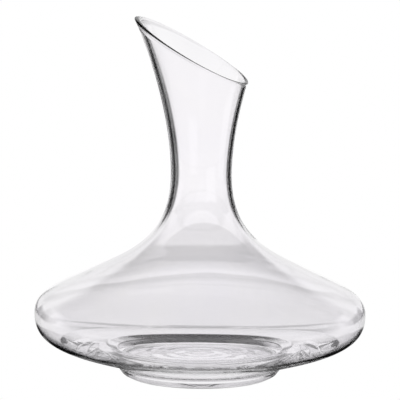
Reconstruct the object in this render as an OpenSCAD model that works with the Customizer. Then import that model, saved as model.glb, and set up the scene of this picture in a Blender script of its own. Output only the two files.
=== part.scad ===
// Wine decanter: one clear glass vessel with a slanted mouth, standing on a fused foot ring.
// Millimetres, +Z up. The origin is the centre of the foot, on the table.
// The mouth is cut on a slant, with the high pouring side towards -X.
// Each zone of the glass is a closed solid that meets its neighbours face to face.

/* [Foot] */
// Radius of the foot ring where it rests on the table
foot_rest_radius = 47.6; // [46:0.1:49]
// Radius of the recess under the foot, at the table
foot_recess_radius = 44.6; // [42:0.1:45.5]
// Radius of the crease where the foot meets the belly
foot_top_radius = 54.4; // [53:0.1:56]
// Height of the crease where the foot meets the belly
foot_height = 7.7; // [6.5:0.1:8]

/* [Well] */
// Radius of the flat floor inside the well
floor_radius = 49.8; // [46:0.1:51]
// Height of the floor inside the well, above the table
floor_height = 12.9; // [12.7:0.1:14]
// Thickness of the floor over the recess
floor_wall = 4.6; // [3:0.1:4.6]
// Radius of the well's rim, where the floor of the belly drops into the well
well_rim_radius = 61.5; // [60:0.1:64]
// Height of the well's rim above the table
well_rim_height = 20.7; // [19:0.1:21.5]

/* [Belly] */
// Largest radius of the bowl
bowl_radius = 110; // [106:1:116]
// Height of the widest circle above the table
widest_height = 41.5; // [40:0.5:46]
// Glass thickness at the widest circle
widest_wall = 1.3; // [1.2:0.1:2.5]
// Slope of the belly where it leaves the foot, in degrees
belly_slope = 20.5; // [19:0.1:22]
// Radius where the nearly level floor of the belly ends and the even wall begins
step_radius = 92.7; // [90:0.1:95]
// Glass thickness there
step_wall = 1.5; // [1.2:0.1:2.5]

/* [Shoulder] */
// Radius where the shoulder turns up into the throat
shoulder_radius = 76; // [72:1:80]
// Height where the shoulder turns up into the throat
shoulder_height = 68; // [64:1:74]
// Slope of the shoulder at that height, in degrees
shoulder_slope = 26.7; // [22:0.1:32]
// Glass thickness at that height
shoulder_wall = 2; // [1.5:0.1:3]

/* [Neck] */
// Outer radius of the neck where it is narrowest
neck_radius = 20.1; // [18:0.1:22]
// Height of the narrowest part of the neck
neck_height = 135; // [125:1:145]
// Glass thickness of the neck
neck_wall = 2.6; // [2:0.1:3.5]

/* [Mouth] */
// Radius that the flare would reach at flare_height, before the slanted cut
flare_radius = 45.9; // [42:0.1:48]
// Height of the uncut flare
flare_height = 240; // [240:1:250]
// Height at which the slanted cut crosses the axis
mouth_height = 212; // [206:1:212]
// Slant of the mouth from level, in degrees
mouth_slant = 29.8; // [26:0.1:29.8]
// Height of the fire-polished bead on the rim
lip_bead = 1.3; // [0.8:0.1:2]

/* [Hidden] */
$fn = 96;
glass = [0.86, 0.89, 0.91, 0.45];
thick_glass = [0.74, 0.79, 0.82, 0.6];

curve_steps = 12;
recess_steps = 6;
foot_steps = 8;
lip_stations = 96;
lip_arc_steps = 6;
cut_search_steps = 24;
cut_block = 200;

// Lengths of the curves' handles: how long each end keeps its direction
foot_start_handle = 5.2;
foot_end_handle = 2.4;
foot_side_slope = 72;
belly_start_handle = 34.5;
belly_end_handle = 22;
shoulder_start_handle = 12;
shoulder_end_handle = 24.6;
throat_start_handle = 31.3;
throat_end_handle = 43;
neck_start_handle = 10;
flare_handle = 60.5;
flare_angle = 23.8;

// The well's wall starts level on the floor and leans out to its rim
well_start_handle = 3.6;
well_end_handle = 9;
well_slope = 31;

// The recess under the floor is a shallow pan with a rounded corner and a leaning wall
recess_top = floor_height - floor_wall;
recess_lean = 3;
recess_corner = 1.2;
recess_wall_radius = foot_recess_radius + recess_lean;

// Point on a cubic curve, and its unit normal towards the axis side
function along(p, t) =
    pow(1 - t, 3) * p[0] + 3 * t * pow(1 - t, 2) * p[1]
    + 3 * t * t * (1 - t) * p[2] + pow(t, 3) * p[3];
function slope_along(p, t) =
    pow(1 - t, 2) * (p[1] - p[0]) + 2 * t * (1 - t) * (p[2] - p[1]) + t * t * (p[3] - p[2]);
function inward(v) = [-v[1], v[0]] / norm(v);

// The curve as points, moved inwards by a wall that goes from one thickness to the other
function curve(p, wall_a = 0, wall_b = 0, steps = curve_steps) =
    [for (i = [0:steps]) skin_point(p, i / steps, wall_a, wall_b)];
function skin_point(p, t, wall_a, wall_b) =
    along(p, t) + inward(slope_along(p, t)) * (wall_a + (wall_b - wall_a) * t);
function reversed(list) = [for (i = [len(list) - 1:-1:0]) list[i]];

// Outer curves, each as [radius, height] control points from bottom to top
foot_curve = [
    [foot_rest_radius, 0],
    [foot_rest_radius + foot_start_handle, 0],
    [foot_top_radius, foot_height]
        - foot_end_handle * [cos(foot_side_slope), sin(foot_side_slope)],
    [foot_top_radius, foot_height]
];
belly_curve = [
    [foot_top_radius, foot_height],
    [foot_top_radius, foot_height] + belly_start_handle * [cos(belly_slope), sin(belly_slope)],
    [bowl_radius, widest_height - belly_end_handle],
    [bowl_radius, widest_height]
];
shoulder_direction = [cos(shoulder_slope), -sin(shoulder_slope)];
shoulder_curve = [
    [bowl_radius, widest_height],
    [bowl_radius, widest_height + shoulder_start_handle],
    [shoulder_radius, shoulder_height] + shoulder_end_handle * shoulder_direction,
    [shoulder_radius, shoulder_height]
];
throat_curve = [
    [shoulder_radius, shoulder_height],
    [shoulder_radius, shoulder_height] - throat_start_handle * shoulder_direction,
    [neck_radius, neck_height - throat_end_handle],
    [neck_radius, neck_height]
];
neck_curve = [
    [neck_radius, neck_height],
    [neck_radius, neck_height + neck_start_handle],
    [flare_radius, flare_height] - flare_handle * [sin(flare_angle), cos(flare_angle)],
    [flare_radius, flare_height]
];
// The inside of the belly: nearly level from the well's rim, then an even wall up to the widest circle
even_wall = [for (p = curve(belly_curve, step_wall, widest_wall)) if (p[0] > step_radius) p];
inner_belly = concat([[well_rim_radius, well_rim_height]], even_wall);
// The inside of the well, from the edge of its floor to its rim
well_curve = [
    [floor_radius, floor_height],
    [floor_radius + well_start_handle, floor_height],
    [well_rim_radius, well_rim_height] - well_end_handle * [cos(well_slope), sin(well_slope)],
    [well_rim_radius, well_rim_height]
];
// The underside of the floor, from the foot ring to the axis
recess_curve = [
    [recess_wall_radius, foot_height],
    [recess_wall_radius, recess_top],
    [recess_wall_radius, recess_top],
    [recess_wall_radius - recess_corner, recess_top]
];

// How far a point of the neck's skin lies above the slanted cut, in the direction angle
function above_cut(t, angle, wall) =
    let (p = skin_point(neck_curve, t, wall, wall))
    p[1] - mouth_height + p[0] * cos(angle) * tan(mouth_slant);
function cut_parameter(angle, wall, low = 0, high = 1, steps = cut_search_steps) =
    let (middle = (low + high) / 2)
    steps == 0 ? middle
    : above_cut(middle, angle, wall) > 0
        ? cut_parameter(angle, wall, low, middle, steps - 1)
        : cut_parameter(angle, wall, middle, high, steps - 1);
function cut_point(angle, wall) =
    let (p = skin_point(neck_curve, cut_parameter(angle, wall), wall, wall))
    [p[0] * cos(angle), p[0] * sin(angle), p[1]];

module wall_between(outer, inner) {
    rotate_extrude() polygon(concat(outer, reversed(inner)));
}

module pouring_lip() {
    up = [sin(mouth_slant), 0, cos(mouth_slant)];
    sides = lip_arc_steps + 1;
    points = [
        for (i = [0:lip_stations - 1])
            let (angle = 360 * i / lip_stations)
            let (outer = cut_point(angle, 0), inner = cut_point(angle, neck_wall))
            let (middle = (outer + inner) / 2, half = (outer - inner) / 2)
            for (j = [0:lip_arc_steps])
                let (turn = 180 * j / lip_arc_steps)
                middle + half * cos(turn) + up * lip_bead * sin(turn)
    ];
    faces = [
        for (i = [0:lip_stations - 1])
            let (here = i * sides, next = ((i + 1) % lip_stations) * sides)
            for (j = [0:sides - 1])
                let (k = (j + 1) % sides)
                each [[here + j, next + k, next + j], [here + j, here + k, next + k]]
    ];
    color(glass) polyhedron(points, faces);
}

module neck() {
    color(glass) difference() {
        wall_between(curve(neck_curve), curve(neck_curve, neck_wall, neck_wall));
        translate([0, 0, mouth_height]) rotate([0, mouth_slant, 0])
            translate([-cut_block / 2, -cut_block / 2, 0]) cube(cut_block);
    }
}

module throat() {
    color(glass)
        wall_between(curve(throat_curve), curve(throat_curve, shoulder_wall, neck_wall));
}

module shoulder() {
    color(glass)
        wall_between(curve(shoulder_curve), curve(shoulder_curve, widest_wall, shoulder_wall));
}

module belly() {
    color(glass) wall_between(curve(belly_curve), inner_belly);
}

module well_floor() {
    color(thick_glass) rotate_extrude() polygon(concat(
        [[0, recess_top], [0, floor_height]],
        curve(well_curve),
        [[foot_top_radius, foot_height]],
        curve(recess_curve, steps = recess_steps)
    ));
}

module foot_ring() {
    color(thick_glass) rotate_extrude() polygon(concat(
        curve(foot_curve, steps = foot_steps),
        [[recess_wall_radius, foot_height], [foot_recess_radius, 0]]
    ));
}

pouring_lip();
neck();
throat();
shoulder();
belly();
well_floor();
foot_ring();
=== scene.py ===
"""Looks of the wine decanter: clear blown glass on a pale floor in soft studio light.

The vessel is worked out as one continuous grid of rings and then cut into the zones of the CAD model,
so that neighbouring pieces share their edges and their shading normals.
"""
import math

import bpy
import numpy as np
from mathutils import Matrix, Vector


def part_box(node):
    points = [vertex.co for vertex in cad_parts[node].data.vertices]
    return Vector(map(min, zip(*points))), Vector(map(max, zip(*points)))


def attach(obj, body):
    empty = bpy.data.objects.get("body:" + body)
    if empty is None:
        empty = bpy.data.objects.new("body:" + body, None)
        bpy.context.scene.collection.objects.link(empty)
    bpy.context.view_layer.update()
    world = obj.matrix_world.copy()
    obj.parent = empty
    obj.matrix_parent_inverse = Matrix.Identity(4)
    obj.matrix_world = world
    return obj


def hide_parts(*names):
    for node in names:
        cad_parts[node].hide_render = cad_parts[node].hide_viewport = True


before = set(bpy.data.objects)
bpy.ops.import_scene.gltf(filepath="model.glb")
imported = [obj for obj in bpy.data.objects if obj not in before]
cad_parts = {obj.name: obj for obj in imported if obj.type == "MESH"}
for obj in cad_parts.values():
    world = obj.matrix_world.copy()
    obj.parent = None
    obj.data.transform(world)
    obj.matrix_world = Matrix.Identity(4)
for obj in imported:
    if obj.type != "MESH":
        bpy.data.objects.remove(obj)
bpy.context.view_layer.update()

MM = 0.001

# ---------------------------------------------------------------- sizes, in millimetres and degrees


def high(node):
    """The highest corner of a CAD node."""
    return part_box(node)[1] / MM


# Where the zones of the glass meet, from the CAD nodes' boxes: radius, height
CREASE = (high("foot_ring").x, high("foot_ring").z)
WIDEST = (high("belly").x, high("belly").z)
SHOULDER = (high("throat").x, high("shoulder").z)
NECK = (20.1, high("throat").z)
FLARE = (45.9, 240.0)
MOUTH_HEIGHT, MOUTH_SLANT = 212.0, math.radians(29.8)

# Slopes of the outline where the zones meet, and the lengths of the curves' handles at their two ends
BELLY_SLOPE, SHOULDER_SLOPE, FLARE_ANGLE = map(math.radians, (20.5, 26.7, 23.8))
BELLY_HANDLES = (34.5, 22.0)
SHOULDER_HANDLES = (12.0, 24.6)
THROAT_HANDLES = (31.3, 43.0)
NECK_HANDLES = (10.0, 60.5)

BELLY_WALL, WIDEST_WALL, SHOULDER_WALL, NECK_WALL = 1.45, 1.3, 2.0, 2.6
# How much thicker the neck is on the pouring side, and thinner on the other, as a share of its wall
NECK_UNEVEN = 0.13
# The bead on the rim: its height over the cut, and how far its outer side swells
LIP_BEAD, LIP_SPREAD = 1.25, 0.5

# The well inside: its floor, its wall, its rim, and the radii that round the corners from there outwards
FLOOR_HEIGHT, WELL_RADIUS = 12.9, 51.0
WELL_SIDE, WELL_RIM = (55.0, 17.2), (61.5, 20.7)
WELL_ROUNDING = (1.2, 4.0, 5.0, 3.3)
# Faint rings in the well's floor, which fade out towards RIPPLE_EDGE
RIPPLE_EDGE, RIPPLE_SPACING, RIPPLE_HEIGHT = 50.0, 11.0, 0.09
# The radius at which the even wall inside the belly starts, and the least gap in radius between the
# rounded corner there and the wall's next point
STEP_RADIUS, STEP_GAP = 92.7, 0.4

# The foot ring outside, and the recess under it
FOOT_REST, FOOT_EDGE, FOOT_SIDE = (47.6, 0.0), (51.2, 1.9), (53.4, 4.7)
FOOT_ROUNDING = (2.8, 2.8)
RECESS_REST, RECESS_CORNER = (44.6, 0.0), (47.7, 8.3)
RECESS_ROUNDING = (0.7,)
# Where the recess passes from the well floor's piece to the foot ring's, below the height of the crease
SEAM_LEAN, SEAM_DROP = 0.15, 1.0
RECESS_SEAM = (RECESS_CORNER[0] - SEAM_LEAN, CREASE[1] - SEAM_DROP)

# The mesh: stations round the axis, points along each curve, steps round a corner, gaps on straight runs
SEGMENTS = 240
BELLY_POINTS, SHOULDER_POINTS, THROAT_POINTS, NECK_POINTS, LIP_POINTS = 46, 34, 40, 48, 13
CORNER_STEPS, WELL_CORNER_STEPS = 6, 9
# The most of a side that the rounding of one corner takes, so that two neighbours never overlap
CORNER_SHARE = 0.48
BELLY_GAP, WELL_GAP, UNDER_GAP, RECESS_GAP = 1.6, 1.2, 2.5, 1.5
CUT_SEARCH_STEPS = 30

# ---------------------------------------------------------------- curves


def cubic(points, t):
    """The points of a cubic curve at the parameters t."""
    a, b, c, d = np.array(points, float)
    t = np.atleast_1d(t)[:, None]
    return (1 - t) ** 3 * a + 3 * t * (1 - t) ** 2 * b + 3 * t * t * (1 - t) * c + t ** 3 * d


def tangent(points, t):
    """The curve's directions at the parameters t, not of unit length."""
    a, b, c, d = np.array(points, float)
    t = np.atleast_1d(t)[:, None]
    return (1 - t) ** 2 * (b - a) + 2 * t * (1 - t) * (c - b) + t * t * (d - c)


def inner_side(points, t, wall):
    """The curve moved towards the axis by the wall's thickness."""
    along = tangent(points, t)
    normal = np.stack([-along[:, 1], along[:, 0]], 1) / np.linalg.norm(along, axis=1)[:, None]
    return cubic(points, t) + normal * np.broadcast_to(wall, len(normal))[:, None]


def step(point, length, angle):
    """The point that lies this far from another, at an angle from level."""
    return (point[0] + length * math.cos(angle), point[1] + length * math.sin(angle))


def rounded(points, radii, steps=CORNER_STEPS):
    """A polyline with its corners rounded, as points. A corner gives steps + 1 of them."""
    points = [np.array(p, float) for p in points]
    out = [points[0]]
    for a, b, c, radius in zip(points, points[1:], points[2:], radii):
        u, v = a - b, c - b
        reach = CORNER_SHARE * min(np.linalg.norm(u), np.linalg.norm(v))
        u, v = u / np.linalg.norm(u), v / np.linalg.norm(v)
        half = math.acos(np.clip(u @ v, -1, 1)) / 2
        back = min(radius / math.tan(half), reach)
        radius = back * math.tan(half)
        centre = b + (u + v) / np.linalg.norm(u + v) * radius / math.sin(half)
        first, last = b + u * back - centre, b + v * back - centre
        angle = math.atan2(first[1], first[0])
        turn = math.atan2(last[1], last[0]) - angle
        turn = (turn + math.pi) % (2 * math.pi) - math.pi
        for i in range(steps + 1):
            here = angle + turn * i / steps
            out.append(centre + radius * np.array([math.cos(here), math.sin(here)]))
    out.append(points[-1])
    return np.array(out)


def spaced(points, gap):
    """Points put in between, so that no two neighbours are much further apart than gap."""
    out = [points[0]]
    for a, b in zip(points, points[1:]):
        parts = max(1, round(np.linalg.norm(b - a) / gap))
        out += [a + (b - a) * i / parts for i in range(1, parts + 1)]
    return np.array(out)


UPRIGHT = math.pi / 2
BELLY_CURVE = (CREASE, step(CREASE, BELLY_HANDLES[0], BELLY_SLOPE),
               step(WIDEST, -BELLY_HANDLES[1], UPRIGHT), WIDEST)
SHOULDER_CURVE = (WIDEST, step(WIDEST, SHOULDER_HANDLES[0], UPRIGHT),
                  step(SHOULDER, SHOULDER_HANDLES[1], -SHOULDER_SLOPE), SHOULDER)
THROAT_CURVE = (SHOULDER, step(SHOULDER, -THROAT_HANDLES[0], -SHOULDER_SLOPE),
                (NECK[0], NECK[1] - THROAT_HANDLES[1]), NECK)
NECK_CURVE = (NECK, (NECK[0], NECK[1] + NECK_HANDLES[0]),
              step(FLARE, -NECK_HANDLES[1], UPRIGHT - FLARE_ANGLE), FLARE)


def cut_parameter(angle, wall):
    """Where on the neck's curve the slanted mouth cuts the skin that lies wall inside it."""
    below, above = 0.0, 1.0
    for _ in range(CUT_SEARCH_STEPS):
        t = (below + above) / 2
        radius, height = inner_side(NECK_CURVE, t, wall)[0]
        if height + radius * math.cos(angle) * math.tan(MOUTH_SLANT) > MOUTH_HEIGHT:
            above = t
        else:
            below = t
    return (below + above) / 2


def shares(count):
    """Numbers evenly spaced from 0 to 1."""
    return np.linspace(0, 1, count)


def lip_arc(outer, inner, angle):
    """The rim's bead, from the outer edge of the cut over to the inner one."""
    middle, half = (outer + inner) / 2, (outer - inner) / 2
    lean = np.array([math.sin(MOUTH_SLANT) * math.cos(angle), math.cos(MOUTH_SLANT)])
    turn = np.linspace(0, math.pi, LIP_POINTS)[:, None]
    lip = middle + half * np.cos(turn) + lean * LIP_BEAD * np.sin(turn)
    return lip + np.array([LIP_SPREAD, 0]) * (np.cos(turn) > 0) * np.sin(2 * turn)


def inner_bowl(belly_t):
    """The inside of the bowl, from the widest circle in to the axis, as its belly run and its well run."""
    radius = cubic(BELLY_CURVE, belly_t)[:, 0]
    share = np.clip((radius - STEP_RADIUS) / (WIDEST[0] - STEP_RADIUS), 0, 1)
    skin = inner_side(BELLY_CURVE, belly_t, BELLY_WALL + (WIDEST_WALL - BELLY_WALL) * share)
    skin = skin[skin[:, 0] > STEP_RADIUS]
    # the last rounded corner runs into the fifth point of the even wall
    corners = [(0, FLOOR_HEIGHT), (WELL_RADIUS, FLOOR_HEIGHT), WELL_SIDE, WELL_RIM, skin[0], skin[4]]
    floor = rounded(corners, WELL_ROUNDING, WELL_CORNER_STEPS)[:-1]
    skin = skin[skin[:, 0] > floor[-1, 0] + STEP_GAP]
    # the rim, where the two runs meet, is halfway round the third corner
    corner = WELL_CORNER_STEPS + 1
    rim = 1 + 2 * corner + corner // 2
    inner_belly = np.concatenate([spaced(floor[rim:], BELLY_GAP), skin])[::-1]
    well = spaced(floor[:rim + 1], WELL_GAP)[1:][::-1]
    fading = np.clip((RIPPLE_EDGE - well[:, 0]) / RIPPLE_SPACING, 0, 1)
    well[:, 1] += RIPPLE_HEIGHT * fading * np.cos(2 * math.pi * well[:, 0] / RIPPLE_SPACING)
    return inner_belly, well


def column(angle):
    """The section at one angle, as runs of [radius, height] points that follow on from each other."""
    belly_t, shoulder_t, throat_t = shares(BELLY_POINTS), shares(SHOULDER_POINTS), shares(THROAT_POINTS)
    # the high pouring side of the mouth is at the angle pi
    wall = NECK_WALL * (1 - NECK_UNEVEN * math.cos(angle))
    neck = cubic(NECK_CURVE, cut_parameter(angle, 0.0) * shares(NECK_POINTS))
    inner_neck = inner_side(NECK_CURVE, cut_parameter(angle, wall) * shares(NECK_POINTS), wall)
    throat_wall = SHOULDER_WALL + (wall - SHOULDER_WALL) * throat_t
    shoulder_wall = WIDEST_WALL + (SHOULDER_WALL - WIDEST_WALL) * shoulder_t
    inner_belly, well = inner_bowl(belly_t)
    under = rounded([(0, RECESS_CORNER[1]), RECESS_CORNER, RECESS_SEAM], RECESS_ROUNDING)
    under = spaced(under, UNDER_GAP)[1:]
    return {
        "foot": rounded([FOOT_REST, FOOT_EDGE, FOOT_SIDE, CREASE], FOOT_ROUNDING),
        "belly": cubic(BELLY_CURVE, belly_t),
        "shoulder": cubic(SHOULDER_CURVE, shoulder_t),
        "throat": cubic(THROAT_CURVE, throat_t),
        "neck": neck,
        "lip": lip_arc(neck[-1], inner_neck[-1], angle),
        "inner_neck": inner_neck[::-1],
        "inner_throat": inner_side(THROAT_CURVE, throat_t, throat_wall)[::-1],
        "inner_shoulder": inner_side(SHOULDER_CURVE, shoulder_t, shoulder_wall)[::-1],
        "inner_belly": inner_belly,
        "well": well,
        "under": under,
        "recess": spaced(np.array([under[-1], RECESS_REST]), RECESS_GAP),
    }


# ---------------------------------------------------------------- the vessel's grid

ANGLES = [2 * math.pi * k / SEGMENTS for k in range(SEGMENTS)]
columns = [column(angle) for angle in ANGLES]
# Each ring is a row of points. A run starts on the ring where the one before it ends, apart from the
# first one and the underside, which starts beside the axis. A span is a run's first and last ring.
rings = []
spans = {}
for name in columns[0]:
    run = np.array([c[name] for c in columns])
    new_start = name in ("foot", "under")
    spans[name] = (len(rings) if new_start else len(rings) - 1, 0)
    for j in range(0 if new_start else 1, run.shape[1]):
        rings.append([(r * math.cos(a), r * math.sin(a), z) for (r, z), a in zip(run[:, j], ANGLES)])
    spans[name] = (spans[name][0], len(rings) - 1)

grid = np.array(rings).reshape(-1, 3)
poles = [(0, 0, FLOOR_HEIGHT + RIPPLE_HEIGHT), (0, 0, RECESS_CORNER[1])]
points = np.concatenate([grid, poles]) * MM
FLOOR_POLE, RECESS_POLE = len(grid), len(grid) + 1


def bridge(a, b):
    """Faces between two rings."""
    return [(a * SEGMENTS + k, a * SEGMENTS + (k + 1) % SEGMENTS,
             b * SEGMENTS + (k + 1) % SEGMENTS, b * SEGMENTS + k) for k in range(SEGMENTS)]


def fan(ring, pole, order):
    """Faces between a ring and a point on the axis."""
    return [(ring * SEGMENTS + (k + 1) % SEGMENTS, ring * SEGMENTS + k, pole)[::order]
            for k in range(SEGMENTS)]


skin_faces = {name: [face for j in range(*span) for face in bridge(j, j + 1)] for name, span in spans.items()}
skin_faces["floor_fan"] = fan(spans["well"][1], FLOOR_POLE, -1)
skin_faces["recess_fan"] = fan(spans["under"][0], RECESS_POLE, 1)
skin_faces["rest"] = bridge(spans["recess"][1], spans["foot"][0])


def skin_normals():
    """The whole vessel's smooth normal at each point of the grid."""
    whole = bpy.data.meshes.new("whole")
    whole.from_pydata([tuple(p) for p in points], [], [f for faces in skin_faces.values() for f in faces])
    found = np.zeros(len(points) * 3)
    whole.vertices.foreach_get("normal", found)
    bpy.data.meshes.remove(whole)
    return found.reshape(-1, 3)


normals = skin_normals()

# ---------------------------------------------------------------- materials


class Net:
    """Short calls that build a node tree. A value is a socket to link, or a number or colour to set."""

    def __init__(self, tree):
        self.tree = tree
        tree.nodes.clear()

    def link(self, value, socket):
        if isinstance(value, bpy.types.NodeSocket):
            self.tree.links.new(value, socket)
        elif value is not None:
            socket.default_value = value

    def node(self, kind, *inputs, named=None, **settings):
        """A node with its first inputs in order, others by name, and its own settings."""
        node = self.tree.nodes.new(kind)
        for key, value in settings.items():
            setattr(node, key, value)
        for socket, value in zip(node.inputs, inputs):
            self.link(value, socket)
        for key, value in (named or {}).items():
            self.link(value, node.inputs[key])
        return node

    def math(self, operation, *inputs):
        return self.node("ShaderNodeMath", *inputs, operation=operation).outputs[0]

    def fade(self, value, start, width, before=1.0, after=0.0):
        """before up to start, then smoothly to after."""
        return self.node("ShaderNodeMapRange", value, start, start + width, before, after,
                         interpolation_type="SMOOTHSTEP").outputs[0]

    def degrees(self, y, x):
        return self.math("MULTIPLY", self.math("ARCTAN2", y, x), 180 / math.pi)

    def length(self, x, y):
        return self.math("SQRT", self.math("ADD", self.math("MULTIPLY", x, x), self.math("MULTIPLY", y, y)))


def new_material(name):
    material = bpy.data.materials.new(name)
    material.use_nodes = True
    return material, Net(material.node_tree)


def glass(name, clear_tint, cord_tint, cord_scale, wave_scale, wave_depth):
    """Clear glass with faint cords in its tint and the slight waviness of hand work on its skin."""
    material, net = new_material(name)
    place = net.node("ShaderNodeTexCoord").outputs["Object"]
    cords = net.node("ShaderNodeTexNoise",
                     named={"Vector": place, "Scale": cord_scale, "Detail": 3, "Distortion": 0.8})
    tint = net.node("ShaderNodeValToRGB", cords.outputs["Fac"])
    for stop, position, colour in zip(tint.color_ramp.elements, (0.3, 0.7), (clear_tint, cord_tint)):
        stop.position = position
        stop.color = (*colour, 1)
    waves = net.node("ShaderNodeTexNoise", named={"Vector": place, "Scale": wave_scale, "Detail": 1})
    skin = net.node("ShaderNodeBump", named={"Strength": 1, "Distance": wave_depth,
                                             "Height": waves.outputs["Fac"]})
    shader = net.node("ShaderNodeBsdfPrincipled", named={
        "Base Color": tint.outputs["Color"], "Normal": skin.outputs["Normal"],
        "Transmission Weight": 1, "Roughness": 0, "IOR": 1.5})
    net.node("ShaderNodeOutputMaterial", shader.outputs[0])
    return material


def fused_inside():
    """The faces between two zones: there is no surface there in the real glass, so light passes straight."""
    material, net = new_material("fused_inside")
    net.node("ShaderNodeOutputMaterial", net.node("ShaderNodeBsdfTransparent").outputs[0])
    return material


# The record's material slots and the glass that stands for each
GLASSES = {
    "vessel_glass": glass("vessel_glass", (1.0, 0.99, 1.0), (0.985, 0.975, 0.997), 14, 22, 0.00035),
    "foot_glass": glass("foot_glass", (0.995, 0.985, 1.0), (0.975, 0.965, 0.985), 22, 40, 0.00025),
}
joined = fused_inside()

# ---------------------------------------------------------------- pieces


def piece(node, runs, seams, slot):
    """A closed piece from runs of the skin, with a face bridging each pair of rings in seams."""
    skin = [f for run in runs for f in skin_faces[run]]
    inside = [f for a, b in seams for f in bridge(a, b)]
    used = sorted(set(i for f in skin + inside for i in f))
    place = {old: new for new, old in enumerate(used)}
    mesh = bpy.data.meshes.new("glass_" + node)
    mesh.from_pydata([tuple(points[i]) for i in used], [],
                     [tuple(place[i] for i in f) for f in skin + inside])
    mesh.materials.append(GLASSES[slot])
    mesh.materials.append(joined)
    loop_normals = []
    for polygon in mesh.polygons:
        on_skin = polygon.index < len(skin)
        polygon.use_smooth = on_skin
        polygon.material_index = 0 if on_skin else 1
        loop_normals += [tuple(normals[used[v]]) if on_skin else tuple(polygon.normal)
                         for v in polygon.vertices]
    mesh.normals_split_custom_set(loop_normals)
    mesh.validate()
    thing = bpy.data.objects.new("glass_" + node, mesh)
    bpy.context.scene.collection.objects.link(thing)
    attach(thing, "root")
    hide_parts(node)


def zone(node):
    """A zone of the wall, between its outer run and its inner one."""
    (a, b), (c, d) = spans[node], spans["inner_" + node]
    piece(node, (node, "inner_" + node), ((b, c), (d, a)), "vessel_glass")


piece("pouring_lip", ("lip",), (spans["lip"][::-1],), "vessel_glass")
for node in ("neck", "throat", "shoulder", "belly"):
    zone(node)
crease, rim, ring_top = spans["belly"][0], spans["well"][0], spans["recess"][0]
piece("well_floor", ("well", "floor_fan", "recess_fan", "under"), ((crease, rim), (ring_top, crease)),
      "foot_glass")
piece("foot_ring", ("foot", "recess", "rest"), ((crease, ring_top),), "foot_glass")

# ---------------------------------------------------------------- studio

scene = bpy.context.scene
scene.view_settings.view_transform = "Standard"
cycles = scene.cycles
cycles.max_bounces = 32
cycles.transmission_bounces = 32
cycles.glossy_bounces = 16
cycles.transparent_max_bounces = 64

# Horizontal direction in which the camera looks, in degrees from +Y towards +X, and its opposite
VIEW, BACK = -8.6, 171.4
# Soft white panels round the object: azimuth of the centre and half width, its soft edge, lower and upper
# edge and the upper edge's softness, all in degrees, and brightness
WORLD_PANELS = (
    (VIEW, 24, 3, -90, 10, 10, 0.85),
    (VIEW, 50, 12, 12, 24, 7, 0.75),
    (BACK, 116, 5, -90, 20, 20, 0.5),
    (BACK, 116, 5, -90, 28, 8, 0.25),
    (-90.0, 16, 4, -90, 10, 8, 1.0),
    (135.0, 16, 4, -90, 10, 8, 1.0),
)
# How far under its lower edge a raised panel fades out
PANEL_FOOT = 4
# Brightness between the panels, and overhead with the elevation and softness of its edge
DARK, TOP, TOP_START, TOP_SOFT = 0.01, 0.02, 45, 20

# What the far floor shows of the panels: azimuth of the centre, half width, soft edge, brightness
FLOOR_PANELS = (
    (VIEW, 13, 6, 1.0),
    (BACK, 118, 4, 0.6),
    (-90.0, 16, 4, 1.0),
    (135.0, 16, 4, 1.0),
)
# Sizes on the floor are in metres. The near floor is lit from NEAR_START off the axis, and in front of the
# object from FRONT_START, out to FAR_START, where the far floor's panels take over.
NEAR_START, NEAR_SOFT, NEAR_LEVEL = 0.185, 0.03, 0.7
FRONT_START, FRONT_SOFT, FRONT_EDGE, FRONT_EDGE_SOFT = 0.095, 0.03, -0.06, 0.04
FAR_START, FAR_SOFT = 0.53, 0.05
# A lit strip of floor runs along the view. Its edge is the nearest of these lines: half width at the
# object, and how much that grows with the distance behind it.
STRIP_EDGES, STRIP_SOFT = ((0.05, 0.65), (0.092, 0.3), (0.36, -0.2)), 0.015
# Its brightness along the view: a start, and steps as distance behind the object, length, change
STRIP_LEVEL, STRIP_STEPS = 0.5, ((-0.6, 0.5, 0.48), (0.36, 0.12, -0.15), (0.54, 0.10, 0.17))
# Patches of shade on it: distance behind the object, half depth, soft edge, half width, soft edge, amount
SHADES = ((0.148, 0.018, 0.015, 0.05, 0.06, 0.55), (0.2085, 0.004, 0.006, 0.07, 0.05, 0.3))
# A ring of shade round the foot: inner and outer radius and their soft edges, and amount, which fades out
# from SHADE_END on behind the object
SHADE_INNER, SHADE_OUTER, SHADE_AMOUNT, SHADE_END = (0.045, 0.006), (0.082, 0.02), 0.92, (0.03, 0.03)
FLOOR_SIZE, FLOOR_DROP = 30.0, 0.0003


def sector(net, azimuth, centre, half, soft, value):
    """value within half degrees of the centre, with a soft edge outside."""
    off = net.math("ABSOLUTE", net.math("WRAP", net.math("SUBTRACT", azimuth, centre), 180.0, -180.0))
    return net.fade(off, half, soft, value)


def world_light(net, direction):
    """The brightness of the surroundings in a direction."""
    x, y, z = direction.outputs
    azimuth = net.degrees(x, y)
    elevation = net.degrees(z, net.length(x, y))
    total = net.fade(elevation, TOP_START, TOP_SOFT, DARK, TOP)
    for centre, half, soft, bottom, top, top_soft, value in WORLD_PANELS:
        panel = sector(net, azimuth, centre, half, soft, value)
        panel = net.math("MULTIPLY", panel, net.fade(elevation, top, top_soft))
        if bottom > 0:
            foot = net.fade(elevation, bottom - PANEL_FOOT, PANEL_FOOT, 0.0, 1.0)
            panel = net.math("MULTIPLY", panel, foot)
        total = net.math("MAXIMUM", total, panel)
    return total


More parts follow.
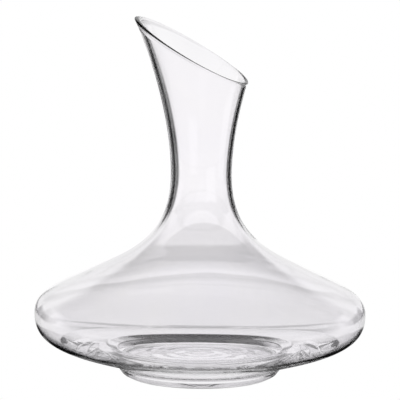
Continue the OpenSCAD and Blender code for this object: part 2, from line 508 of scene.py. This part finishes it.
def strip_light(net, across, along, from_foot):
    """The lit strip of floor that runs along the view, with its shades."""
    behind = net.math("MAXIMUM", along, 0.0)
    edge = FLOOR_SIZE
    for half, spread in STRIP_EDGES:
        edge = net.math("MINIMUM", edge, net.math("ADD", net.math("MULTIPLY", behind, spread), half))
    over = net.math("SUBTRACT", net.math("ABSOLUTE", across), edge)
    tone = STRIP_LEVEL
    for start, width, change in STRIP_STEPS:
        tone = net.math("ADD", net.fade(along, start, width, 0.0, change), tone)
    for middle, depth, depth_soft, half, half_soft, amount in SHADES:
        off = net.math("ABSOLUTE", net.math("SUBTRACT", along, middle))
        shade = net.math("MULTIPLY", net.fade(off, depth, depth_soft, amount, 0.0),
                         net.fade(net.math("ABSOLUTE", across), half, half_soft))
        tone = net.math("SUBTRACT", tone, shade)
    ring = net.math("MULTIPLY", net.fade(from_foot, *SHADE_INNER, 0.0, 1.0),
                    net.fade(from_foot, *SHADE_OUTER))
    ring = net.math("MULTIPLY", ring, net.fade(along, *SHADE_END, SHADE_AMOUNT, 0.0))
    tone = net.math("MULTIPLY", tone, net.math("SUBTRACT", 1.0, ring))
    return net.math("MULTIPLY", net.fade(over, 0.0, STRIP_SOFT), tone)


def floor_light(net, place):
    """The brightness of the floor at a place."""
    x, y, _ = place.outputs
    turn = math.radians(VIEW)
    across = net.math("SUBTRACT", net.math("MULTIPLY", x, math.cos(turn)),
                      net.math("MULTIPLY", y, math.sin(turn)))
    along = net.math("ADD", net.math("MULTIPLY", x, math.sin(turn)), net.math("MULTIPLY", y, math.cos(turn)))
    from_foot = net.length(x, y)
    azimuth = net.degrees(x, y)
    panels = DARK
    for row in FLOOR_PANELS:
        panels = net.math("MAXIMUM", panels, sector(net, azimuth, *row))
    far = net.math("MULTIPLY", panels, net.fade(from_foot, FAR_START, FAR_SOFT, 0.0, 1.0))
    front = net.math("MULTIPLY", net.fade(from_foot, FRONT_START, FRONT_SOFT, 0.0, NEAR_LEVEL),
                     net.fade(along, FRONT_EDGE, FRONT_EDGE_SOFT))
    near = net.math("MAXIMUM", net.fade(from_foot, NEAR_START, NEAR_SOFT, 0.0, NEAR_LEVEL), front)
    near = net.math("MULTIPLY", near, net.fade(from_foot, FAR_START, FAR_SOFT))
    lit = net.math("MAXIMUM", strip_light(net, across, along, from_foot), net.math("MAXIMUM", far, near))
    return net.math("MAXIMUM", lit, DARK)


def camera_sees_white(net, kind, strength):
    """The camera sees plain white; glass and other surfaces see the studio's panels."""
    white = net.node(kind, (1, 1, 1, 1), 1.0).outputs[0]
    lit = net.node(kind, (1, 1, 1, 1), strength).outputs[0]
    camera_ray = net.node("ShaderNodeLightPath").outputs["Is Camera Ray"]
    return net.node("ShaderNodeMixShader", camera_ray, lit, white).outputs[0]


world = bpy.data.worlds.new("studio")
scene.world = world
world.use_nodes = True
net = Net(world.node_tree)
way = net.node("ShaderNodeTexCoord").outputs["Generated"]
light = world_light(net, net.node("ShaderNodeSeparateXYZ", way))
net.node("ShaderNodeOutputWorld", camera_sees_white(net, "ShaderNodeBackground", light))

paint, net = new_material("floor")
place = net.node("ShaderNodeNewGeometry").outputs["Position"]
light = floor_light(net, net.node("ShaderNodeSeparateXYZ", place))
net.node("ShaderNodeOutputMaterial", camera_sees_white(net, "ShaderNodeEmission", light))
mesh = bpy.data.meshes.new("floor")
mesh.from_pydata([(x * FLOOR_SIZE, y * FLOOR_SIZE, 0) for x, y in ((-1, -1), (1, -1), (1, 1), (-1, 1))],
                 [], [(0, 1, 2, 3)])
mesh.materials.append(paint)
floor = bpy.data.objects.new("floor", mesh)
floor.location.z = -FLOOR_DROP
scene.collection.objects.link(floor)

# ---------------------------------------------------------------- camera

AIM = Vector((-0.00068, 0, 0.11744))
STAND = Vector((0.3706, -2.4421, 0.5026))
ROLL = math.radians(0.549)
lens = bpy.data.cameras.new("camera")
lens.lens, lens.sensor_width, lens.clip_end = 340.5, 36, 50
camera = bpy.data.objects.new("camera", lens)
scene.collection.objects.link(camera)
look = (AIM - STAND).to_track_quat("-Z", "Y").to_matrix().to_4x4()
camera.matrix_world = Matrix.Translation(STAND) @ look @ Matrix.Rotation(ROLL, 4, "Z")
scene.camera = camera
